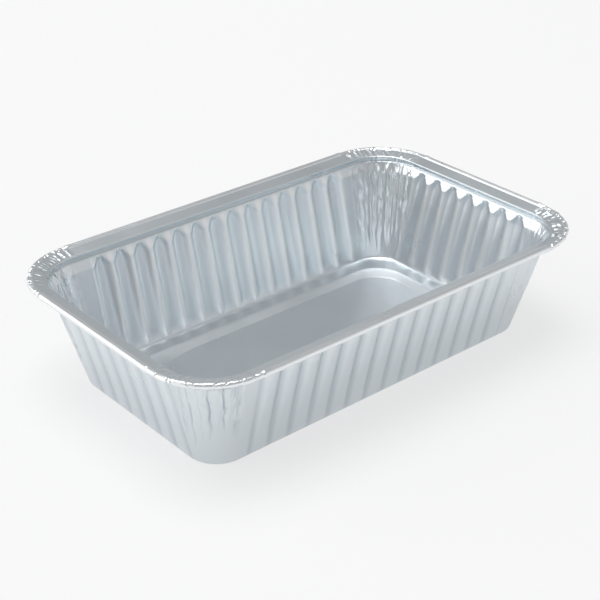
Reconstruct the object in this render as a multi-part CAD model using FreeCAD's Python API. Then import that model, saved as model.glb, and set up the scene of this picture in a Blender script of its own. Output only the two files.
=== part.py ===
import FreeCAD, Part
import math
import os

# Aluminium foil tray, pressed from one sheet of foil, with ribbed walls, a rolled rim
# and a floor stiffened by a raised crease.
# Origin at the centre of the underside, +Z up, +X along the tray, in millimetres.

# Mouth, the line where the wall turns out into the flange
mouth_length = 200.0
mouth_width = 117.6
mouth_height = 48.0
mouth_corner_radius = 21.0
foil_thickness = 0.2

# Foil bends in flats: so many round each quarter turn of a corner
corner_flats = 12

# Wall section, each inset counted inward from the mouth
riser_height = 2.4
shoulder_height = 2.6
shoulder_inset = 2.0
foot_inset = 12.2
foot_corner_radius = 13.4
foot_radius = 2.0
foot_flats = 3

# Rim
flange_width = 7.4
flange_rise = 0.8
bead_radius = 1.45
curl_sweep = 300.0
curl_flats = 8

# Ribs pressed outward in the walls
long_rib_count = 14
long_rib_pitch = 10.1
short_rib_count = 7
short_rib_pitch = 10.25
rib_width = 8.8
rib_depth_top = 1.6
rib_depth_foot = 0.7
rib_flank_slope = 1.3
rib_arch_height = 5.0
rib_foot_run = 2.5

# Gathers that take up the spare foil of each corner
gather_count = 9
gather_width = 2.2
gather_depth = 0.7
gather_drop = 26.0
gather_drop_swing = 9.0
gather_drop_beat = 2.4

# Crimps where the flange and bead fold round each corner, the first and last of them
# crimp_margin degrees from the straight sides
crimp_count = 8
crimp_margin = 13.0
crimp_width = 1.1
crimp_height = 0.3

# Floor, each width counted inward from the foot of the wall
channel_width = 6.5
crease_run = 3.0
crease_height = 1.2
panel_run = 5.2
panel_height = 0.5
floor_corner_radius = 15.0

# How far solids reach past each other, how deep a bulge starts in its wall, and how near
# two corners lie that are one
reach = 3.0
root_depth = 0.3
arch_root_depth = 0.1
same_corner = 1e-7

wall_height = mouth_height - riser_height - shoulder_height
arch_tip_height = mouth_height - riser_height


def flat_face(corners):
    """Flat face through its corners, or none where they close up to a line or a point."""
    distinct = []
    for corner in corners:
        if not any(corner.isEqual(other, same_corner) for other in distinct):
            distinct.append(corner)
    if len(distinct) < 3:
        return []
    return [Part.Face(Part.makePolygon(distinct + distinct[:1]))]


def flat_sided(outlines):
    """Solid with flat sides between outlines of as many corners each."""
    faces = flat_face(outlines[0]) + flat_face(outlines[-1])
    for lower, upper in zip(outlines, outlines[1:]):
        for index in range(len(lower)):
            following = (index + 1) % len(lower)
            faces += flat_face([lower[index], lower[following], upper[following], upper[index]])
    solid = Part.Solid(Part.Shell(faces))
    if solid.Volume < 0:
        solid.reverse()
    return solid


def corner_angles():
    """Angles of the bends of one corner, in radians."""
    return [math.pi / 2 * index / corner_flats for index in range(corner_flats + 1)]


def rounded_rectangle(inset, radius, z):
    """Closed outline that lies inset inside the mouth, at one height."""
    centre_x = mouth_length / 2 - inset - radius
    centre_y = mouth_width / 2 - inset - radius
    points = []
    for turns, side_x, side_y in ((0, 1, 1), (1, -1, 1), (2, -1, -1), (3, 1, -1)):
        for angle in corner_angles():
            turn = angle + turns * math.pi / 2
            x = side_x * centre_x + radius * math.cos(turn)
            y = side_y * centre_y + radius * math.sin(turn)
            points.append(FreeCAD.Vector(x, y, z))
    return points


def stacked_solid(levels):
    """Solid through rounded rectangles, given as inset, corner radius and height."""
    return flat_sided([rounded_rectangle(*level) for level in levels])


def wall_share(z, skin):
    """How far up the wall a height is, on the face grown outward by skin."""
    foot_level = foil_thickness - skin
    return (z - foot_level) / (wall_height - skin - foot_level)


def wall_inset(z, skin):
    """Inset of the wall's face below the shoulder."""
    return foot_inset - skin + (shoulder_inset - foot_inset) * wall_share(z, skin)


def wall_corner_radius(z, skin):
    spread = mouth_corner_radius - shoulder_inset - foot_corner_radius
    return foot_corner_radius + skin + spread * wall_share(z, skin)


def foot_levels(skin):
    """Bend between floor and wall, tangent to both, from the floor up."""
    lean = math.atan2(foot_inset - shoulder_inset, wall_height - foil_thickness)
    radius = foot_radius + skin
    bottom = foil_thickness - skin
    bend_middle = wall_inset(bottom + radius, skin) + radius / math.cos(lean)
    levels = []
    for index in range(foot_flats + 1):
        turn = (math.pi / 2 - lean) * index / foot_flats
        inset = bend_middle - radius * math.sin(turn)
        z = bottom + radius * (1 - math.cos(turn))
        corner_radius = wall_corner_radius(z, skin) - (inset - wall_inset(z, skin))
        levels.append((inset, corner_radius, z))
    return levels


def wall_form(skin, top):
    """Space inside the tray's walls up to a height, grown outward by skin."""
    shoulder_radius = mouth_corner_radius - shoulder_inset
    levels = foot_levels(skin) + [
        (shoulder_inset - skin, shoulder_radius + skin, wall_height - skin),
        (-skin, mouth_corner_radius + skin, arch_tip_height - skin),
        (-skin, mouth_corner_radius + skin, top),
    ]
    return stacked_solid(levels)


def rib_section(place, wall, z, width, depth):
    """Level outline of a rib with a flat crown and flanks of one slope."""
    half_root = width / 2 + root_depth * rib_flank_slope
    half_crown = width / 2 - depth * rib_flank_slope
    outline = [
        (-half_root, wall - reach),
        (-half_root, wall - root_depth),
        (-half_crown, wall + depth),
        (half_crown, wall + depth),
        (half_root, wall - root_depth),
        (half_root, wall - reach),
    ]
    return [FreeCAD.Vector(place + side, out, z) for side, out in outline]


def rib(place, half_span, skin):
    """One rib of the wall at +Y, pointed at the shoulder and at the foot."""
    foot_tip = foot_radius + foil_thickness
    low = foot_tip + rib_foot_run
    high = arch_tip_height - rib_arch_height
    width = rib_width + 2 * skin * (math.hypot(1, rib_flank_slope) - rib_flank_slope)
    tip_wall = half_span - wall_inset(foot_tip, skin) - root_depth
    arch_wall = half_span + skin - arch_root_depth
    sections = []
    for z, depth in ((low, rib_depth_foot), (high, rib_depth_top)):
        wall = half_span - wall_inset(z, skin)
        sections.append(rib_section(place, wall, z, width, depth))
    foot_point = FreeCAD.Vector(place, tip_wall, foot_tip)
    arch_point = FreeCAD.Vector(place, arch_wall, arch_tip_height - skin)
    corners = len(sections[0])
    return flat_sided([[foot_point] * corners] + sections + [[arch_point] * corners])


def turned(solid, angle):
    copy = solid.copy()
    copy.rotate(FreeCAD.Vector(0, 0, 0), FreeCAD.Vector(0, 0, 1), angle)
    return copy


def rib_places(count, pitch):
    return [(index - (count - 1) / 2) * pitch for index in range(count)]


def ribs(skin):
    """Ribs of all four walls."""
    solids = []
    for place in rib_places(long_rib_count, long_rib_pitch):
        solid = rib(place, mouth_width / 2, skin)
        solids.append(solid)
        solids.append(turned(solid, 180))
    for place in rib_places(short_rib_count, short_rib_pitch):
        solid = rib(place, mouth_length / 2, skin)
        solids.append(turned(solid, 90))
        solids.append(turned(solid, 270))
    return solids


def corner_point(z, angle, skin, outward):
    """Point of the corner at +X +Y, outward from the face grown by skin."""
    inset = wall_inset(z, skin)
    radius = wall_corner_radius(z, skin)
    centre_x = mouth_length / 2 - inset - radius
    centre_y = mouth_width / 2 - inset - radius
    x = centre_x + (radius + outward) * math.cos(angle)
    y = centre_y + (radius + outward) * math.sin(angle)
    return FreeCAD.Vector(x, y, z)


def gather(index, skin):
    """One fold of the corner at +X +Y, that fades out down the wall."""
    angle = math.radians(90 * (index + 1) / (gather_count + 1))
    drop = gather_drop + gather_drop_swing * math.sin(gather_drop_beat * index)
    high = wall_height - gather_depth
    half_turn = gather_width / 2 / wall_corner_radius(high, skin)
    left = corner_point(high, angle - half_turn, skin, -root_depth)
    crown = corner_point(high, angle, skin, gather_depth)
    right = corner_point(high, angle + half_turn, skin, -root_depth)
    back = corner_point(high, angle, skin, -reach)
    fold = [left, crown, right, back]
    low_tip = corner_point(high - drop, angle, skin, -root_depth)
    high_tip = corner_point(wall_height, angle, skin, -root_depth)
    return flat_sided([[low_tip] * len(fold), fold, [high_tip] * len(fold)])


def mirrored_corners(solid):
    """A corner's solid and its mirror images in the other three corners."""
    origin = FreeCAD.Vector(0, 0, 0)
    across = solid.mirror(origin, FreeCAD.Vector(1, 0, 0))
    back = solid.mirror(origin, FreeCAD.Vector(0, 1, 0))
    opposite = across.mirror(origin, FreeCAD.Vector(0, 1, 0))
    return [solid, across, back, opposite]


def gathers(skin):
    solids = []
    for index in range(gather_count):
        solids += mirrored_corners(gather(index, skin))
    return solids


def floor_form(skin):
    """Raised crease and sunken panel under the floor, lifted by skin."""
    crease_inset = foot_inset + channel_width + crease_run
    panel_inset = crease_inset + panel_run
    crease_level = crease_height + skin
    plateau = stacked_solid([
        (foot_inset + channel_width, floor_corner_radius, skin - reach),
        (foot_inset + channel_width, floor_corner_radius, skin),
        (crease_inset, floor_corner_radius, crease_level),
    ])
    panel = stacked_solid([
        (panel_inset, floor_corner_radius, panel_height + skin),
        (crease_inset, floor_corner_radius, crease_level),
        (crease_inset, floor_corner_radius, crease_level + reach),
    ])
    return plateau.cut(panel)


def curl_points(radius, start, end):
    """Bends of the curl, as distance outward from the mouth and height."""
    points = []
    for index in range(curl_flats + 1):
        turn = math.radians(start + (end - start) * index / curl_flats)
        out = flange_width + bead_radius + radius * math.cos(turn)
        points.append((out, mouth_height + flange_rise + radius * math.sin(turn)))
    return points


def rim_outline(start_out, lift, depth):
    """Section of flange and bead from lift above the sheet's outside to depth below it."""
    bead_level = mouth_height + flange_rise
    start_level = mouth_height + flange_rise * start_out / flange_width
    outer_radius = bead_radius + lift
    outer_start = 180 - math.degrees(math.asin(lift / outer_radius))
    curl_end = 180 - curl_sweep
    outline = [(start_out, start_level - depth), (start_out, start_level)]
    outline += curl_points(outer_radius, outer_start, curl_end)
    outline += curl_points(bead_radius - depth, curl_end, 180)
    outline.append((flange_width + depth, bead_level - depth))
    return outline


def standing_outline(outline, angle, centre_x, centre_y):
    """Section stood up on the rim, square to it, where the mouth turns by an angle."""
    points = []
    for out, z in outline:
        x = centre_x + (mouth_corner_radius + out) * math.cos(angle)
        y = centre_y + (mouth_corner_radius + out) * math.sin(angle)
        points.append(FreeCAD.Vector(x, y, z))
    return points


def rim():
    """Flange and bead, as four quarters that meet in the middles of the sides."""
    outline = rim_outline(-reach, 0, foil_thickness)
    corner_x = mouth_length / 2 - mouth_corner_radius
    corner_y = mouth_width / 2 - mouth_corner_radius
    sections = [standing_outline(outline, 0, corner_x, 0)]
    for angle in corner_angles():
        sections.append(standing_outline(outline, angle, corner_x, corner_y))
    sections.append(standing_outline(outline, math.pi / 2, 0, corner_y))
    return fused(mirrored_corners(flat_sided(sections)))


def crimps():
    """Crimps of all four corners, each square to the rim and rooted half way in its foil."""
    outline = rim_outline(foil_thickness, crimp_height, foil_thickness / 2)
    near = standing_outline(outline, 0, 0, -crimp_width / 2)
    far = standing_outline(outline, 0, 0, crimp_width / 2)
    block = flat_sided([near, far])
    crimp_step = (90 - 2 * crimp_margin) / (crimp_count - 1)
    corner_x = mouth_length / 2 - mouth_corner_radius
    corner_y = mouth_width / 2 - mouth_corner_radius
    solids = []
    for index in range(crimp_count):
        solid = turned(block, crimp_margin + index * crimp_step)
        solid.translate(FreeCAD.Vector(corner_x, corner_y, 0))
        solids += mirrored_corners(solid)
    return solids


def fused(solids):
    return solids[0].multiFuse(solids[1:])


def outer_form():
    """The sheet's outside, filled, with its rim."""
    skin = foil_thickness
    bulges = ribs(skin) + gathers(skin)
    solid = fused([wall_form(skin, mouth_height)] + bulges)
    solid = solid.cut(floor_form(0))
    return fused([solid, rim()] + crimps())


def inner_form():
    """The space that the sheet encloses, carried past the mouth."""
    bulges = ribs(0) + gathers(0)
    solid = fused([wall_form(0, mouth_height + reach)] + bulges)
    return solid.cut(floor_form(foil_thickness))


def foil_tray():
    return outer_form().cut(inner_form()).removeSplitter()


os.makedirs("parts", exist_ok=True)
tray = foil_tray()
solid = tray.Solids[0]
print("solids", len(tray.Solids), "valid", tray.isValid(), "volume", round(solid.Volume, 1))
box = tray.optimalBoundingBox()
print("box", [round(side, 2) for side in (box.XLength, box.YLength, box.ZLength)])
solid.exportStep("parts/foil_tray.step")
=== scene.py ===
# %% [markdown]
# # Aluminium foil tray
#
# The real tray starts as one flat piece of foil. A press pushes it over a die with ribbed sides, and the
# spare foil in the corners gathers into small folds. Then the edge is rolled into a bead.
# This lesson does the same: it takes flat grids of faces as the foil, and moves every vertex of a grid to
# where the die would press it. First the solid model is loaded, which gives the size and the place.

import math
import random

import bmesh
import bpy
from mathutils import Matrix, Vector, noise


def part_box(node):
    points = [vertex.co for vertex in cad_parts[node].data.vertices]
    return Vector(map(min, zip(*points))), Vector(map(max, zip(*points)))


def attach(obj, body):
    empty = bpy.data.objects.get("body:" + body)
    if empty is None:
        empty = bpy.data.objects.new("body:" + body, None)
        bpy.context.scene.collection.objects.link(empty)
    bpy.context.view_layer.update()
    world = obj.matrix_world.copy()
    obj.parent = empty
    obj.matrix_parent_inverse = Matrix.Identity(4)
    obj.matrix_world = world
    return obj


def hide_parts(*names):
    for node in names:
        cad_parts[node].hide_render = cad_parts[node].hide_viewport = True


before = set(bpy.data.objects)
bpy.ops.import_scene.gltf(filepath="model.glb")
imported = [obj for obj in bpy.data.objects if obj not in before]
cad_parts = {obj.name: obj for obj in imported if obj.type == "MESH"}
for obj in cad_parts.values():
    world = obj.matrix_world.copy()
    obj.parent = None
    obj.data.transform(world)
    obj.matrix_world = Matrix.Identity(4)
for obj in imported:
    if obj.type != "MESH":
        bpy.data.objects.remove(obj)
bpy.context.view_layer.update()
low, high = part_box("foil_tray")
mm = 0.001
print("solid tray, mm:", [round((b - a) / mm, 1) for a, b in zip(low, high)])

# %% [markdown]
# ## The mouth
#
# The mouth is the line where the wall turns out into the flange. It is the line that a maker of dies
# measures from, so all rings of this tray are told by their inset, which is counted inward from the mouth.
# Its place comes from the solid model, whose rim stands out 10.3 mm from the mouth.

# %% Sizes of the mouth
solid_overhang = 10.3 * mm
mouth_height = 48.0 * mm
mouth_corner = 21.0 * mm
mouth_half_x = high.x - solid_overhang
mouth_half_y = high.y - solid_overhang
print("mouth half sizes, mm:", round(mouth_half_x / mm, 2), round(mouth_half_y / mm, 2))

# %% [markdown]
# ## The camera
#
# The camera stands to the left and in front of the tray and looks down into it. Its place was worked out
# from the straight lines of the rim, so it sees the long sides run away at the angle that the picture has.
# A long lens from far off keeps the near corner from growing too large.

# %% Camera
camera = bpy.data.objects.new("camera", bpy.data.cameras.new("camera"))
bpy.context.scene.collection.objects.link(camera)
camera.location = Vector((-340.6, -393.95, 310.49)) * mm
camera_target = Vector((26.44, 35.35, 0)) * mm
camera.rotation_euler = (camera_target - camera.location).to_track_quat("-Z", "Y").to_euler()
camera.data.lens = 83.18
camera.data.sensor_width = 36
camera.data.clip_start = 0.01
bpy.context.scene.camera = camera
print("camera distance, mm:", round((camera_target - camera.location).length / mm))

# %% [markdown]
# ## Small helpers
#
# `smooth` goes gently from 0 to 1 between two values, as foil does when it bends over an edge of the die.
# `larger` is a maximum with a rounded meeting line, which is how foil goes from one face of the die to
# the next.

# %% Helpers
def smooth(start, end, value):
    """0 before start, 1 past end, and an even S between."""
    share = min(1.0, max(0.0, (value - start) / (end - start)))
    return share * share * (3 - 2 * share)


def mix(first, second, share):
    return first + (second - first) * share


def larger(first, second, softness):
    half_gap = (first - second) / 2
    return (first + second) / 2 + math.sqrt(half_gap * half_gap + softness * softness)


print("smooth at a quarter of the way:", smooth(0, 1, 0.25))

# %% [markdown]
# ## The four walls
#
# The tray has four walls. Each is worked out as if it faced +X, and quarter turns bring it to its own side,
# so a rib or a corner has to be described only once. Wall 0 faces +X, wall 1 +Y, wall 2 -X and wall 3 -Y.
# The ribs are counted from the picture: 14 on a long wall and 7 on a short one, about 10 mm apart.

# %% Walls and their ribs
long_ribs = 14
long_pitch = 10.1 * mm
short_ribs = 7
short_pitch = 10.25 * mm


def quarter_turned(x, y, turns):
    for _ in range(turns):
        x, y = -y, x
    return x, y


def wall_halves(wall):
    """Distance from the middle to a wall, and half of the wall's own length, at the mouth."""
    return (mouth_half_x, mouth_half_y) if wall % 2 == 0 else (mouth_half_y, mouth_half_x)


def wall_ribs(wall):
    return (short_ribs, short_pitch) if wall % 2 == 0 else (long_ribs, long_pitch)


print("ribbed part of a long wall, mm:", round(long_ribs * long_pitch / mm, 1))

# %% [markdown]
# ## Places on a ring
#
# Each ring of the tray is a rounded rectangle. A place on a ring is a wall number, a kind, and a value.
# A `rib` place is a distance along the wall, and a `corner` place is an angle. `panel` places spread over
# the plain stretch from the last rib to a seam that lies a little way into the corner, and `run` places
# over the whole straight part. The same place can be asked for on any ring, from the mouth to the floor,
# and that is what makes one column of faces run neatly down the whole wall.

# %% Places
corner_seam = math.radians(15)


def place_run(place, inset, corner):
    """How far along its wall a place lies, and how far round the corner it has turned."""
    wall, kind, value = place
    straight = wall_halves(wall)[1] - inset - corner
    if kind == "corner":
        return straight, value
    if kind == "run":
        return abs(value) * straight, 0.0
    run = abs(value)
    if kind == "panel":
        count, pitch = wall_ribs(wall)
        run = mix(count * pitch / 2, straight + corner * math.sin(corner_seam), abs(value))
    if run <= straight:
        return run, 0.0
    return straight, math.asin((run - straight) / corner)


def ring_place(place, inset, corner, out=0.0):
    """Point on the ring that lies inset inside the mouth, moved outward by out."""
    wall, kind, value = place
    run, turn = place_run(place, inset, corner)
    x = wall_halves(wall)[0] - inset - corner + (corner + out) * math.cos(turn)
    y = math.copysign(run + (corner + out) * math.sin(turn), value)
    return quarter_turned(x, y, wall)


middle_of_wall = ring_place((0, "rib", 0.0), 0.0, mouth_corner)
print("middle of the right wall's mouth, mm:", [round(value / mm, 1) for value in middle_of_wall])

# %% [markdown]
# ## Corners
#
# The corners need a number of their own, because each one is folded in its own way. Corner 0 is the far
# right one, and the count goes on anticlockwise. The angle is 0 in a corner's middle, and it also goes on
# along the straight walls, so that a fold can fade out there instead of stopping at a hard line.

# %% Corner angles
corner_names = ("far right", "far left", "near left", "near right")
smallest_corner = 0.001 * mm


def corner_turn(place, inset, corner):
    """Number of the nearest corner, and the angle from its middle, which goes on past its two ends."""
    wall, kind, value = place
    run, turn = place_run(place, inset, corner)
    straight = wall_halves(wall)[1] - inset - corner
    angle = turn - math.pi / 4 - (straight - run) / max(corner, smallest_corner)
    return (wall, angle) if value >= 0 else ((wall + 3) % 4, -angle)


seam_number, seam_angle = corner_turn((0, "corner", corner_seam), 0.0, mouth_corner)
print("seam of the", corner_names[seam_number], "corner, degrees:", round(math.degrees(seam_angle)))

# %% [markdown]
# ## Pressing a flat grid into shape
#
# `press` makes a flat grid of faces with one column for each place and one row for each line of the
# section, and moves every vertex to its place on the die. The grid's two ends meet in a seam, which is
# welded. The point function also says how strongly the foil is gathered there and how much painted light
# it gets, a painted highlight on the inside and painted shade on the outside. Both numbers are kept on the
# vertex, and the finish reads them later.

# %% Press
weld_distance = 0.0005 * mm


def press(mesh, places, rows, point):
    """Add a grid that runs once round the tray, and move its vertices to point(place, row)."""
    gathered = mesh.verts.layers.float.new("gathered")
    # painted light: crests, fold lines and bead are painted lighter inside and darker outside
    painted_light = mesh.verts.layers.float.new("painted_light")
    columns = len(places)
    grid = bmesh.ops.create_grid(mesh, x_segments=columns, y_segments=len(rows) - 1, size=0.5)
    for vertex in grid["verts"]:
        column = round((vertex.co.x + 0.5) * columns) % columns
        row = round((vertex.co.y + 0.5) * (len(rows) - 1))
        vertex.co, vertex[gathered], vertex[painted_light] = point(places[column], rows[row])
    bmesh.ops.remove_doubles(mesh, verts=mesh.verts, dist=weld_distance)
    print("pressed:", columns, "columns,", len(rows), "rows,", len(mesh.verts), "vertices")


print("vertices are welded when closer than, mm:", weld_distance / mm)

# %% [markdown]
# ## From a pressed grid to foil
#
# Foil shows the true creases crisp and all else smooth, so only edges with a steep angle are marked sharp.
# A Solidify modifier gives the foil its thickness, half of it to each side. Its second face takes the
# second material, the tray's inside. A modifier is used here because it keeps the two faces exactly one
# foil apart, whatever folds there are.

# %% Foil pieces
foil = 0.2 * mm
crisp_angle = math.radians(38)
point_in_mouth = Vector((0, 0, 60 * mm))


def turn_outward(mesh):
    """Let the faces look away from the inside of the tray."""
    bmesh.ops.recalc_face_normals(mesh, faces=mesh.faces)
    facing_in = sum(face.normal.dot(point_in_mouth - face.calc_center_median()) for face in mesh.faces)
    if facing_in > 0:
        bmesh.ops.reverse_faces(mesh, faces=mesh.faces)


def finish_piece(name, mesh):
    """Turn the pressed grid into an object with thickness and finish, and hand it to the frame."""
    turn_outward(mesh)
    for face in mesh.faces:
        face.smooth = True
    for edge in mesh.edges:
        edge.smooth = len(edge.link_faces) == 2 and edge.calc_face_angle() < crisp_angle
    data = bpy.data.meshes.new(name)
    mesh.to_mesh(data)
    mesh.free()
    data.materials.append(outside_finish)
    data.materials.append(inside_finish)
    piece = bpy.data.objects.new(name, data)
    bpy.context.scene.collection.objects.link(piece)
    thickness = piece.modifiers.new("foil thickness", "SOLIDIFY")
    thickness.thickness = foil
    thickness.offset = 0
    thickness.material_offset = 1
    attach(piece, "root")
    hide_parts("foil_tray")
    shown = piece.evaluated_get(bpy.context.evaluated_depsgraph_get()).to_mesh()
    print(name, "triangles:", sum(len(face.vertices) - 2 for face in shown.polygons))
    return piece


print("foil, mm:", foil / mm, "and crisp above, degrees:", round(math.degrees(crisp_angle)))

# %% [markdown]
# ## Nodes for the finish
#
# A material is a small net of nodes. These helpers add one node each and join it to what comes before.
# The noise is read at the object's own coordinates, in metres, so its spots have a true size and stay on
# the tray when the camera moves.

# %% Node helpers
def add_node(tree, kind, **settings):
    node = tree.nodes.new(kind)
    for key, value in settings.items():
        setattr(node, key, value)
    return node


def add_noise(tree, place, scale, detail, stretch=(1, 1, 1), kind="FBM"):
    """A noise texture on the object's own coordinates, with about scale spots in a metre."""
    mapping = add_node(tree, "ShaderNodeMapping")
    mapping.inputs["Scale"].default_value = stretch
    tree.links.new(place, mapping.inputs["Vector"])
    texture = add_node(tree, "ShaderNodeTexNoise", noise_type=kind)
    texture.inputs["Scale"].default_value = scale
    texture.inputs["Detail"].default_value = detail
    tree.links.new(mapping.outputs["Vector"], texture.inputs["Vector"])
    return texture.outputs[0]


def add_range(tree, value, low_end, high_end, low_value, high_value):
    """Map a value from low_end..high_end to low_value..high_value."""
    node = add_node(tree, "ShaderNodeMapRange")
    for name, number in zip(("From Min", "From Max", "To Min", "To Max"),
                            (low_end, high_end, low_value, high_value)):
        node.inputs[name].default_value = number
    tree.links.new(value, node.inputs["Value"])
    return node.outputs["Result"]


def add_bump(tree, height, size, before=None, strength=None):
    """Raise the surface by height times size, on top of the bump that comes before."""
    node = add_node(tree, "ShaderNodeBump")
    node.inputs["Distance"].default_value = size
    tree.links.new(height, node.inputs["Height"])
    if strength is not None:
        tree.links.new(strength, node.inputs["Strength"])
    if before is not None:
        tree.links.new(before, node.inputs["Normal"])
    return node.outputs["Normal"]


print("materials before the foil:", len(bpy.data.materials))

# %% [markdown]
# ## The satin finish
#
# Rolled foil is a satin mirror. Its metal has one even colour, and the roughness changes a little in soft
# patches. Three kinds of relief are too fine for the pressed grid: the grain of the rolled surface, shallow
# dents where the sheet has given way a little, and the hair-thin creases of the corners. The creases run
# down the wall, so their pattern is stretched along Z, and the vertices' own `gathered` number keeps them
# in the corners.
#
# The crests inside the tray, the fold lines of the corners and the bead get a painted highlight: there a
# number kept on the vertex turns the metal brighter than the lamps make it. From outside the same lines
# are the narrow valleys beside the ribs, and there the same number paints shade that turns the metal
# darker. That is why the outside has its own finish.

# %% Satin foil
foil_colour = (0.79, 0.838, 0.868, 1)
# painted shade for the outside's valleys, fold lines and the curl of the bead
painted_shade_colour = (0.66, 0.71, 0.75, 1)
# painted highlight for the inside's crests, fold lines and the bead
painted_highlight_colour = (0.97, 0.985, 0.99, 1)
smoothest = 0.27
roughest = 0.34
grain_height = 0.012 * mm
dent_height = 0.25 * mm
hair_crease_height = 0.45 * mm
down_the_wall = (1, 1, 0.13)


def make_foil(name, painted_light_colour):
    material = bpy.data.materials.new(name)
    material.use_nodes = True
    tree = material.node_tree
    shader = tree.nodes["Principled BSDF"]
    shader.inputs["Metallic"].default_value = 1
    place = add_node(tree, "ShaderNodeTexCoord").outputs["Object"]
    # the vertex number of painted light blends in the painted highlight or the painted shade colour
    painted_light = add_node(tree, "ShaderNodeAttribute", attribute_name="painted_light").outputs["Fac"]
    colour = add_node(tree, "ShaderNodeMix", data_type="RGBA")
    colour.inputs["A"].default_value = foil_colour
    colour.inputs["B"].default_value = painted_light_colour
    tree.links.new(painted_light, colour.inputs["Factor"])
    tree.links.new(colour.outputs["Result"], shader.inputs["Base Color"])
    corners = add_node(tree, "ShaderNodeAttribute", attribute_name="gathered").outputs["Fac"]
    patches = add_noise(tree, place, 45, 3)
    tree.links.new(add_range(tree, patches, 0.3, 0.7, smoothest, roughest), shader.inputs["Roughness"])
    grain = add_noise(tree, place, 1500, 2)
    dents = add_noise(tree, place, 70, 2)
    creases = add_noise(tree, place, 520, 2, down_the_wall, "RIDGED_MULTIFRACTAL")
    normal = add_bump(tree, grain, grain_height)
    normal = add_bump(tree, dents, dent_height, normal)
    normal = add_bump(tree, creases, hair_crease_height, normal, corners)
    tree.links.new(normal, shader.inputs["Normal"])
    return material


outside_finish = make_foil("satin foil outside", painted_shade_colour)
inside_finish = make_foil("satin foil inside", painted_highlight_colour)
print("foil finish nodes:", len(inside_finish.node_tree.nodes))

# %% [markdown]
# ## Folds of the corners
#
# Where the flat foil goes round a corner there is too much of it, and it gathers into folds that run down
# the wall. No two are alike, so each fold gets its own angle, width, depth and lower end from seeded random
# numbers. The corner near the camera also has a few long cracks, which are placed one by one, and the
# far one is covered in fine folds. Angles are in radians from the corner's middle, and the rest is in mm.

# %% Random folds
random.seed(7)


def random_folds(count, reach, widths, depths, ends):
    """Folds spread over a corner, as (angle, half width, depth, lower end, number)."""
    folds = []
    for number in range(count):
        angle = mix(-reach, reach, (number + random.uniform(0.1, 0.9)) / count)
        side = 1 if random.random() < 0.6 else -1
        folds.append((angle, random.uniform(*widths) * mm, side * random.uniform(*depths) * mm,
                      random.uniform(*ends) * mm, number))
    return folds


wall_folds = [
    random_folds(34, 0.86, (0.55, 1.15), (0.25, 0.75), (1, 9)),
    random_folds(30, 0.80, (0.5, 0.9), (0.2, 0.5), (2, 22)),
    random_folds(17, 0.84, (0.35, 0.8), (0.12, 0.32), (8, 32)),
    random_folds(24, 0.86, (0.5, 1.3), (0.1, 0.34), (2, 20)),
]
near_cracks = ((-0.62, 0.6, -0.5, 10), (-0.42, 0.6, -0.7, 7), (0.04, 0.7, -0.8, 13), (0.36, 0.8, -1.1, 17),
               (0.60, 0.6, -0.7, 12), (0.70, 0.6, -0.9, 9))
wall_folds[2] += [(angle, width * mm, depth * mm, end * mm, 20 + number)
                  for number, (angle, width, depth, end) in enumerate(near_cracks)]
for name, folds in zip(corner_names, wall_folds):
    print(name, "corner, folds:", len(folds))

# %% [markdown]
# ## How a fold shapes the wall
#
# A fold is a sharp ridge or valley: it is deepest on its own line and falls off evenly to both sides. Real
# folds wander and change depth on their way down, so slow noise moves the line to the side and makes it
# deeper and shallower. Each fold reads the noise at a spot of its own, so that no two wander together.

# %% Folds at one point
fold_sway = 0.055
sway_length = 4 * mm
beat_length = 6 * mm
fold_fade = 9 * mm
full_line_depth = 0.4 * mm


def fold_out(number, angle, corner, z):
    """How far one corner's folds push the wall outward, and the painted light of the nearest crease line."""
    total = 0.0
    line = 0.0
    for centre, width, depth, end, own in wall_folds[number]:
        sway = fold_sway * noise.noise(Vector((own * 3.7, z / sway_length, number * 5.1)))
        gap = abs(angle - centre - sway) * corner
        if gap < width:
            beat = 0.75 + 0.6 * noise.noise(Vector((z / beat_length, own * 2.3, number)))
            depth_here = depth * beat * smooth(end, end + fold_fade, z)
            total += depth_here * (1 - gap / width)
            # painted light along the crease: a painted highlight inside, painted shade outside
            line = max(line, (1 - gap / width) ** 2 * min(1.0, abs(depth_here) / full_line_depth))
    return total, line


crack_push, crack_line = fold_out(2, near_cracks[3][0], mouth_corner, 40 * mm)
print("deepest crack's corner at 40 mm, push in mm:", round(crack_push / mm, 2))

# %% [markdown]
# ## Ribs
#
# A rib is a shallow gutter pressed outward, which makes the thin wall stiff. Its bottom is nearly flat, its
# flanks lean at about thirty-five degrees, and its top closes in a pointed arch under the upright band
# below the rim. Near the foot it gets shallower, and it ends where the wall bends into the floor.

# %% Rib depth
rib_depth_top = 1.75 * mm
rib_depth_foot = 0.75 * mm
rib_flat = 2.0 * mm
rib_half_width = 4.75 * mm
rib_crown = 0.10
rib_start = 0.3 * mm
rib_full = 3.4 * mm
arch_foot = 39.6 * mm
arch_tip = 45.5 * mm
arch_bow = 1.4
flank_straightness = 0.6


def off_rib_middle(place):
    """Distance along the wall from a place to the middle of its rib."""
    wall, kind, value = place
    count, pitch = wall_ribs(wall)
    turn = value / pitch + count / 2
    return abs(turn - math.floor(turn) - 0.5) * pitch


def rib_out(place, z, most):
    """How far the ribs press the wall outward at one place and height, at most so far as most."""
    if place[1] != "rib" or z >= arch_tip:
        return 0.0
    across = off_rib_middle(place)
    narrowing = max(0.0, (z - arch_foot) / (arch_tip - arch_foot))
    width = 1 - narrowing ** arch_bow
    slope = min(1.0, max(0.0, (across / width - rib_flat) / (rib_half_width - rib_flat))) if width else 1.0
    flank = mix(smooth(0, 1, slope), slope, flank_straightness)
    bottom = 1 - rib_crown * min(1.0, across / rib_flat) ** 2
    depth = min(most, mix(rib_depth_foot, rib_depth_top, min(1.0, z / arch_foot)))
    return depth * bottom * (1 - flank) * smooth(rib_start, rib_full, z)


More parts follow.
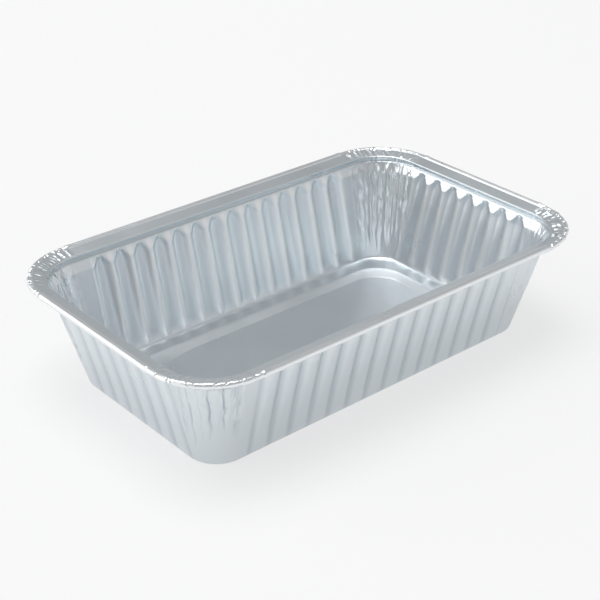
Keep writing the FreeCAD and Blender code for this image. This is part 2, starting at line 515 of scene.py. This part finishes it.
print("rib depth at 20 mm, mm:", round(rib_out((0, "rib", 0.0), 20 * mm, rib_depth_top) / mm, 2))

# %% [markdown]
# ## The line of the wall
#
# The plain wall is a straight line that leans out from the foot to the shoulder, and its corner radius
# grows with it. At the foot the sheet bends into the floor with a small radius. The line goes through the
# middle of the foil, so the floor's line lies half a foil above the ground.

# %% Line of the wall
shoulder_foot = 41.4 * mm
shoulder_inset = 2.0 * mm
foot_inset = 12.2 * mm
foot_corner = 13.4 * mm
foot_bend = 1.7 * mm
floor_level = foil / 2
wall_lean = math.atan((foot_inset - shoulder_inset) / shoulder_foot)


def line_inset(z):
    """Inset of the plain wall, which is where the crests between the ribs lie."""
    return mix(foot_inset, shoulder_inset, z / shoulder_foot)


def line_corner(z):
    """Corner radius of the plain wall."""
    if z < shoulder_foot:
        return mix(foot_corner, mouth_corner - shoulder_inset, z / shoulder_foot)
    return mouth_corner - line_inset(z)


bend_top = floor_level + foot_bend * (1 - math.sin(wall_lean))
bend_centre = line_inset(bend_top) + foot_bend * math.cos(wall_lean)
bend_corner = line_corner(bend_top) + line_inset(bend_top) - bend_centre
print("wall leans out, degrees:", round(math.degrees(wall_lean), 1))

# %% [markdown]
# ## Crests
#
# A crest is the narrow line of wall between two ribs. The number worked out here paints light on it: a
# painted highlight on the inside, and painted shade in the valley that it makes outside. The crests of the
# short walls look broader, so there the painted highlight starts nearer to the middle of the rib.

# %% Painted light on the crests
crest_start_short = 2.4 * mm
crest_start_long = 2.9 * mm
crest_full = 4.4 * mm
crest_bottom = (0.5 * mm, 2 * mm)
crest_top = (46 * mm, 43 * mm)


def crest_painted_light(place, z):
    """Painted light: 1 on the crests between the ribs, and 0 in the ribs."""
    wall, kind, value = place
    if kind != "rib":
        return 0.0
    start = crest_start_short if wall % 2 == 0 else crest_start_long
    across = off_rib_middle(place)
    return smooth(start, crest_full, across) * smooth(*crest_bottom, z) * smooth(*crest_top, z)


crest = (0, "rib", short_pitch / 2)
print("rubbed on a crest at 20 mm:", crest_painted_light(crest, 20 * mm))

# %% [markdown]
# ## The shoulder and the riser
#
# At the shoulder the wall turns further out to the upright band, the riser, except where a rib has already
# pressed it out. So between the arches the shoulder is left as small bright three-sided faces. The riser
# stands out a little more at its foot than at its top.

# %% Shoulder and riser
mouth_bend = 0.5 * mm
riser_top = mouth_height - mouth_bend
riser_foot = 45.6 * mm
riser_tuck = 0.7 * mm
tuck_height = 0.6 * mm
shoulder_bow = 1.15
meeting_softness = 0.06 * mm


def formed_out(place, z, inset):
    """How far ribs, shoulder and riser stand out from the line of the wall."""
    riser_out = max(0.0, inset) if z < riser_foot else inset
    share = min(1.0, max(0.0, (z - shoulder_foot) / (riser_foot - shoulder_foot)))
    shoulder_out = riser_out * share ** shoulder_bow
    rib = rib_out(place, z, riser_out)
    out = larger(rib, shoulder_out, meeting_softness) if 0 < share < 1 else max(rib, shoulder_out)
    tuck = riser_tuck * smooth(riser_foot - tuck_height, riser_foot, z) * smooth(riser_top, riser_foot, z)
    return out + tuck


print("riser height, mm:", round((riser_top - riser_foot) / mm, 1))

# %% [markdown]
# ## One point of the wall
#
# `wall_point` puts line, ribs, shoulder, riser and folds together into one point. The folds lie on top of
# the formed wall, weaken at the shoulder and stop below the flange, where the rim has its own pleats.
# A row is a bend angle at the foot and a height above it, so that the small bend gets even steps too.

# %% Point of the wall
folds_end = (0.78, 1.02)
folds_weaken = (43 * mm, 45 * mm)
folds_weakening = 0.8
folds_stop = (47.2 * mm, 46 * mm)
gather_starts = (3 * mm, 8 * mm, 15 * mm, 6 * mm)
gather_rise = 14 * mm


def wall_line(row):
    """Inset, height and corner radius of a row: a bend angle if it is below 0, or else a height."""
    if row > 0:
        return line_inset(row), row, line_corner(row)
    inset = bend_centre - foot_bend * math.cos(-row)
    return inset, floor_level + foot_bend * (1 - math.sin(-row)), bend_corner + bend_centre - inset


def wall_point(place, row):
    """Where the die presses the foil of the wall, how gathered it is and how much painted light it gets."""
    inset, z, corner = wall_line(row)
    number, angle = corner_turn(place, inset, corner)
    reach = 1 - smooth(*folds_end, abs(angle))
    fold = 0.0
    line = 0.0
    if reach > 0 and row > 0:
        held = reach * (1 - folds_weakening * smooth(*folds_weaken, z)) * smooth(*folds_stop, z)
        fold, line = fold_out(number, angle, corner, z)
        fold *= held
        line *= held
    x, y = ring_place(place, inset, corner, formed_out(place, z, inset) + fold)
    gathered = reach * smooth(gather_starts[number], gather_starts[number] + gather_rise, z)
    # the third value paints light on crests and fold lines: lighter inside, darker outside
    return Vector((x, y, z)), gathered, max(line, crest_painted_light(place, z))


foot_point = wall_point((0, "rib", 0.0), -math.pi / 2)[0]
print("start of the right wall's foot, mm:", [round(value / mm, 2) for value in foot_point])

# %% [markdown]
# ## Pressing the walls
#
# Faces are spent where the form turns quickly: closer together on the narrow crests, close in the folded
# corners, and close in height at the arches. The rows start with the bend at the foot, so the wall and
# the floor meet in a smooth round and not in a hard corner.

# %% Press the walls
crest_crowding = 0.06


def steps(start, end, count):
    """Values from start up to, but not with, end."""
    return [mix(start, end, step / count) for step in range(count)]


def wall_places(rib_cells, panel_cells, corner_cells):
    """Places once round the tray, closer together on the narrow crests between the ribs."""
    places = []
    for wall in range(4):
        count, pitch = wall_ribs(wall)
        places += [(wall, "panel", -value) for value in steps(1, 0, panel_cells)]
        for rib in range(count):
            for value in steps(0, 1, rib_cells):
                warped = value + crest_crowding * math.sin(2 * math.pi * value)
                places.append((wall, "rib", (rib + value * 2 - warped - count / 2) * pitch))
        places += [(wall, "panel", value) for value in steps(0, 1, panel_cells)]
        places += [(wall, "corner", value) for value in
                   steps(corner_seam, math.pi / 2 - corner_seam, corner_cells)]
    return places


wall_rows = steps(-math.pi / 2, -wall_lean, 6) + steps(bend_top, arch_foot, 23)
wall_rows += steps(arch_foot, riser_foot, 14) + steps(riser_foot, riser_top, 2) + [riser_top]
walls = bmesh.new()
press(walls, wall_places(14, 8, 92), wall_rows, wall_point)
ribbed_walls = finish_piece("ribbed_walls", walls)

# %% [markdown]
# ## The rim
#
# Above the riser the foil bends out into the flange, which climbs a little, and its edge is rolled over
# into the bead. The rim's section here is fitted to the picture and is about two millimetres narrower than
# the solid model's. Round the corners the roller crushes the bead, each corner by its own amount, and nicks
# it. The flange takes up its spare foil in pleats that run out from the corner.

# %% Sizes and damage of the rim
flange_width = 5.4 * mm
flange_rise = 1.2 * mm
flange_lean = math.atan(flange_rise / flange_width)
bead_radius = 1.35 * mm
bead_drop = 0.4 * mm
bead_centre = flange_width + math.sqrt(bead_radius ** 2 - bead_drop ** 2)
crush = (0.05, 0.08, 0.15, 0.24)
crush_end = 0.86
pleats = [random_folds(count, 0.84, (0.5, 1.4), (0.12, height), (0, 1))
          for count, height in ((24, 0.22), (22, 0.22), (14, 0.2), (18, 0.5))]
nicks = [random_folds(count, 0.83, (0.3, 0.5), (0.25, 0.5), (0, 1)) for count in (10, 16, 9, 12)]
print("rim stands out from the mouth, mm:", round((bead_centre + bead_radius) / mm, 2))

# %% [markdown]
# ## The flange
#
# The flange's section is a small bend and then a straight slope. In the corners it is lifted by the pleats,
# which are shallow tents, and by a crumple. `creased` is noise with sharp valleys: taking the size of plain
# noise without its sign folds it at zero, and such a fold looks like a crease in foil.

# %% Flange section
pleat_lean = 0.05
crumple_size = 2.4 * mm
crumple_middle = 0.35
crumple_height = 1.6


def creased(x, y, z):
    """Noise with sharp valleys, like crumpled foil, from 0 to about 1."""
    spot = Vector((x, y, z))
    return abs(noise.noise(spot)) * 1.3 + abs(noise.noise(spot * 2.3)) * 0.6


def bend_section(share):
    """Out from the mouth and height, along the bend from riser to flange."""
    turn = share * (math.pi / 2 - flange_lean)
    return mouth_bend * (1 - math.cos(turn)), riser_top + mouth_bend * math.sin(turn)


def flange_section(share, number, angle, near):
    """Out from the mouth and height, along the flange."""
    start_z = riser_top + mouth_bend * math.cos(flange_lean)
    out = mix(mouth_bend * (1 - math.sin(flange_lean)), flange_width, share)
    lift = 0.0
    for centre, width, height, _, own in pleats[number]:
        lean = pleat_lean * noise.noise(Vector((own * 2.9, share * 2, number)))
        gap = abs(angle - centre - lean) * (mouth_corner + out)
        if gap < width:
            lift += height * (1 - gap / width)
    around = angle * mouth_corner
    crumple = creased(around / crumple_size, out / crumple_size, number * 7.3) - crumple_middle
    lift += crush[number] * crumple * mm * crumple_height
    lift *= near * smooth(0, 0.2, share)
    return out, mix(start_z, mouth_height + flange_rise, share) + lift


print("flange slopes up, degrees:", round(math.degrees(flange_lean), 1))

# %% [markdown]
# ## The bead
#
# The bead is a circle that stands up from the flange's edge at a crease, and curls over, down and back
# under. Its centre lies a little below that edge. In the corners its radius shrinks, which is the crush,
# with dents and nicks, and just beside them it swells a little. That leaves the small step at which the
# crimped part of a real bead begins.

# %% Bead section
bead_end = -2 * math.pi / 3
curl_start = 0.12
corner_thinning = 0.12
crush_thinning = 0.2
nick_sway = 0.03
step_swell = 0.16 * mm
swell_length = 0.2
dent_length = 3.4 * mm
dent_depth = 1.5
bead_wave = 0.02 * mm
bead_wave_length = 9 * mm


def bead_section(share, number, angle, near):
    """Out from the mouth and height, along the curl of the bead."""
    turn = mix(math.pi - math.asin(bead_drop / bead_radius), bead_end, share)
    held = smooth(0, curl_start, share)
    radius = bead_radius * (1 - near * held * (corner_thinning + crush[number] * crush_thinning))
    for centre, width, depth, _, own in nicks[number]:
        gap = abs(angle - centre - nick_sway * math.sin(turn + own)) * (mouth_corner + flange_width)
        if gap < width:
            radius -= near * held * abs(depth) * (1 - gap / width)
    around = angle * mouth_corner
    dent = creased(around / dent_length, turn * 0.6, number * 3.1 + 1) - 0.4
    radius += near * held * crush[number] * dent * mm * dent_depth
    radius += step_swell * held * (1 - near) * smooth(crush_end + swell_length, crush_end, abs(angle))
    radius += bead_wave * noise.noise(Vector((around / bead_wave_length, turn, number)))
    out = bead_centre + radius * math.cos(turn)
    return out, mouth_height + flange_rise - bead_drop + radius * math.sin(turn)


bead_top = max(bead_section(share / 20, 0, -math.pi, 0.0)[1] for share in range(21))
print("plain bead's top, mm:", round(bead_top / mm, 2))

# %% [markdown]
# ## Pressing the rim
#
# The three sections follow each other as rows of one grid: bend, flange and curl. The columns crowd in the
# corners, where the damage is, and just beside them, where the step of the bead lies. The plain middle of
# each side needs only a few.

# %% Press the rim
rim_gathered = 0.25
# painted highlight on the bead's outer face, and painted shade inside its curl
bead_painted_light = 0.7


def rim_point(place, row):
    """Where the rollers press the foil of the rim, how gathered it is and how much painted light it gets."""
    number, angle = corner_turn(place, 0.0, mouth_corner)
    near = 1 - smooth(crush_end - 0.01, crush_end + 0.02, abs(angle))
    part, share = row
    gathered = near * rim_gathered
    painted_light = 0.0
    if part == "bend":
        out, z = bend_section(share)
        gathered = 0.0
    elif part == "flange":
        out, z = flange_section(share, number, angle, near)
    else:
        out, z = bead_section(share, number, angle, near)
        # the bead gets painted light: a painted highlight on its outer face
        painted_light = bead_painted_light * smooth(0, 0.08, share)
    x, y = ring_place(place, 0.0, mouth_corner, out)
    return Vector((x, y, z)), gathered, painted_light


def rim_places(corner_cells):
    """Places once round the rim, close together in the corners and just beside them."""
    places = []
    for wall in range(4):
        places += [(wall, "run", -value) for value in steps(1, 0.86, 22) + steps(0.86, 0, 8)]
        places += [(wall, "run", value) for value in steps(0, 0.86, 8) + steps(0.86, 1, 22)]
        places += [(wall, "corner", value) for value in steps(0, math.pi / 2, corner_cells)]
    return places


rim_rows = [("bend", share) for share in steps(0, 1, 5)] + [("flange", share) for share in steps(0, 1, 9)]
rim_rows += [("curl", share) for share in steps(0, 1, 22)] + [("curl", 1.0)]
rim = bmesh.new()
press(rim, rim_places(190), rim_rows, rim_point)
rolled_rim = finish_piece("rolled_rim", rim)

# %% [markdown]
# ## The steps of the floor
#
# A flat sheet of foil would flap, so the die presses steps into the floor. From the wall's foot a channel
# climbs slowly to a crease, and from there a band slopes down to the flat panel in the middle. A fine
# groove runs round the panel where the band meets it. The floor's height depends only on the inset.

# %% Height of the floor
channel_end = 20.4 * mm
channel_rise = 0.6 * mm
lip_start = channel_end - 0.6 * mm
crease_inset = 21.8 * mm
crease_height = 2.0 * mm
panel_inset = 27.0 * mm
panel_height = 0.35 * mm
band_end = panel_inset + 1.2 * mm
groove_depth = 0.12 * mm
groove_width = 0.5 * mm


def floor_height(inset):
    channel = channel_rise * smooth(bend_centre, channel_end, inset)
    lip = (crease_height - channel_rise) * smooth(lip_start, crease_inset, inset)
    fall = (crease_height - panel_height) * smooth(crease_inset, band_end, inset)
    groove = groove_depth * math.exp(-((inset - panel_inset) / groove_width) ** 2)
    return floor_level + channel + lip - fall - groove


print("crease height, mm:", round(floor_height(crease_inset) / mm, 2))

# %% [markdown]
# ## The rings of the floor
#
# The rings of the floor are rounded rectangles like those of the wall. Only the panel's far left corner is
# a long quarter of an ellipse, so the band is wider there: the rings near the panel's edge are pulled in
# towards the middle of that ellipse. The pull fades away before the middle of the floor, where both long
# sides of the last ring have to meet in one line.

# %% Point of the floor
panel_corner = 15.0 * mm
long_round_x = 39.3 * mm
long_round_y = 20.0 * mm
long_round = Vector((long_round_x - (mouth_half_x - panel_inset), mouth_half_y - panel_inset - long_round_y))
pull_end = mouth_half_y - 4 * mm


def floor_point(place, inset):
    if inset < panel_inset:
        corner = mix(bend_corner, panel_corner, smooth(bend_centre, crease_inset, inset))
    else:
        corner = panel_corner * (mouth_half_y - inset) / (mouth_half_y - panel_inset)
    x, y = ring_place(place, inset, corner)
    edge_x, edge_y = ring_place(place, panel_inset, panel_corner)
    across = (long_round.x - edge_x) / long_round_x
    along = (edge_y - long_round.y) / long_round_y
    if across > 0 and along > 0:
        pull = smooth(crease_inset, panel_inset, inset) * smooth(pull_end, panel_inset, inset)
        pull *= 1 - 1 / max(1.0, math.hypot(across, along))
        x = mix(x, long_round.x, pull)
        y = mix(y, long_round.y, pull)
    return Vector((x, y, floor_height(inset))), 0.0, 0.0


print("middle of the long round, mm:", [round(value / mm, 1) for value in long_round])

# %% [markdown]
# ## Pressing the floor
#
# The rows crowd at the crease and at the panel's edge. The last row lies on the middle line of the tray,
# where every vertex of one long side meets one of the other, and the weld of `press` closes the panel.

# %% Press the floor
floor_places = []
for wall in range(4):
    floor_places += [(wall, "run", value) for value in steps(-1, 1, 16)]
    floor_places += [(wall, "corner", value) for value in steps(0, math.pi / 2, 56)]
floor_rows = steps(bend_centre, lip_start, 8) + steps(lip_start, crease_inset, 10)
floor_rows += steps(crease_inset, panel_inset - mm, 8) + steps(panel_inset - mm, panel_inset + mm, 10)
floor_rows += steps(panel_inset + mm, mouth_half_y, 20) + [mouth_half_y]
bottom = bmesh.new()
press(bottom, floor_places, floor_rows, floor_point)
tray_floor = finish_piece("tray_floor", bottom)

# %% [markdown]
# ## The ground
#
# The tray stands on a plain pale ground. A photographer lights such a ground until it is nearly white. Here
# a part of plain white is blended in, more for what the camera sees and less for what the metal mirrors.
# The rest is a matt card, which keeps the soft shadow under the tray.

# %% Ground
ground_half = 4
white_for_camera = 0.64
white_for_mirrors = 0.36
ground_mesh = bmesh.new()
bmesh.ops.create_grid(ground_mesh, x_segments=1, y_segments=1, size=ground_half)
ground_data = bpy.data.meshes.new("ground")
ground_mesh.to_mesh(ground_data)
ground_mesh.free()
ground = bpy.data.objects.new("ground", ground_data)
bpy.context.scene.collection.objects.link(ground)
pale = bpy.data.materials.new("pale ground")
pale.use_nodes = True
pale_tree = pale.node_tree
card = pale_tree.nodes["Principled BSDF"]
card.inputs["Base Color"].default_value = (0.95, 0.95, 0.95, 1)
card.inputs["Roughness"].default_value = 1
card.inputs["Specular IOR Level"].default_value = 0
white = add_node(pale_tree, "ShaderNodeEmission")
seen = add_node(pale_tree, "ShaderNodeLightPath")
camera_part = add_node(pale_tree, "ShaderNodeMath", operation="MULTIPLY")
camera_part.inputs[1].default_value = white_for_camera
white_part = add_node(pale_tree, "ShaderNodeMath", operation="MULTIPLY_ADD")
white_part.inputs[1].default_value = white_for_mirrors
blend = add_node(pale_tree, "ShaderNodeMixShader")
pale_tree.links.new(seen.outputs["Is Camera Ray"], camera_part.inputs[0])
pale_tree.links.new(seen.outputs["Is Glossy Ray"], white_part.inputs[0])
pale_tree.links.new(camera_part.outputs[0], white_part.inputs[2])
pale_tree.links.new(white_part.outputs[0], blend.inputs["Fac"])
pale_tree.links.new(card.outputs["BSDF"], blend.inputs[1])
pale_tree.links.new(white.outputs["Emission"], blend.inputs[2])
pale_tree.links.new(blend.outputs["Shader"], pale_tree.nodes["Material Output"].inputs["Surface"])
ground_data.materials.append(pale)
print("ground, m:", 2 * ground_half, "by", 2 * ground_half)

# %% [markdown]
# ## The lamps
#
# Metal shows what stands round it, so each lamp is placed by what mirrors it. The large soft box at the
# left and back lights the walls that face it, and the small faces between the arches of the right wall
# mirror it. The one at the right and front is weak and only keeps that side from going flat. The lamp
# overhead lights the ground and draws the bright line along the bead.

# %% Lamps
lamp_distance = 4.0


def soft_lamp(name, towards, size, power):
    """A soft box, size wide and high, that shines on the tray from one direction."""
    data = bpy.data.lights.new(name, "AREA")
    data.shape = "RECTANGLE"
    data.size, data.size_y = size
    data.energy = power
    lamp = bpy.data.objects.new(name, data)
    bpy.context.scene.collection.objects.link(lamp)
    lamp.location = Vector(towards).normalized() * lamp_distance
    lamp.rotation_euler = (-lamp.location).to_track_quat("-Z", "Y").to_euler()
    print(name, "watts:", power)


soft_lamp("left box", (-0.76, 0.55, 0.42), (5.0, 3.4), 62)
soft_lamp("right box", (0.62, -0.72, 0.36), (3.2, 2.8), 7)
soft_lamp("top lamp", (-0.05, 0.12, 1.0), (2.6, 2.6), 64)

# %% [markdown]
# ## The surrounding
#
# A studio has white walls near the table and a darker room above them. The flange and the flat panel mirror
# the darker part, and that is what makes them grey. The world's strength follows how high a direction
# points, from the white walls at the horizon to the grey ceiling a little above it.

# %% Surrounding
wall_end = 0.0
ceiling_start = 0.16
wall_light = 1.0
ceiling_light = 0.40


def make_surrounding():
    """White walls that turn into a grey ceiling a little above the horizon."""
    world = bpy.data.worlds.new("surrounding")
    world.use_nodes = True
    tree = world.node_tree
    tree.nodes["Background"].inputs["Color"].default_value = (0.98, 0.99, 1.0, 1)
    direction = add_node(tree, "ShaderNodeTexCoord").outputs["Generated"]
    parts = add_node(tree, "ShaderNodeSeparateXYZ")
    tree.links.new(direction, parts.inputs["Vector"])
    level = add_range(tree, parts.outputs["Z"], wall_end, ceiling_start, wall_light, ceiling_light)
    tree.links.new(level, tree.nodes["Background"].inputs["Strength"])
    return world


bpy.context.scene.world = make_surrounding()
bpy.context.scene.view_settings.view_transform = "Standard"
print("ceiling starts, degrees above the horizon:", round(math.degrees(math.asin(ceiling_start)), 1))
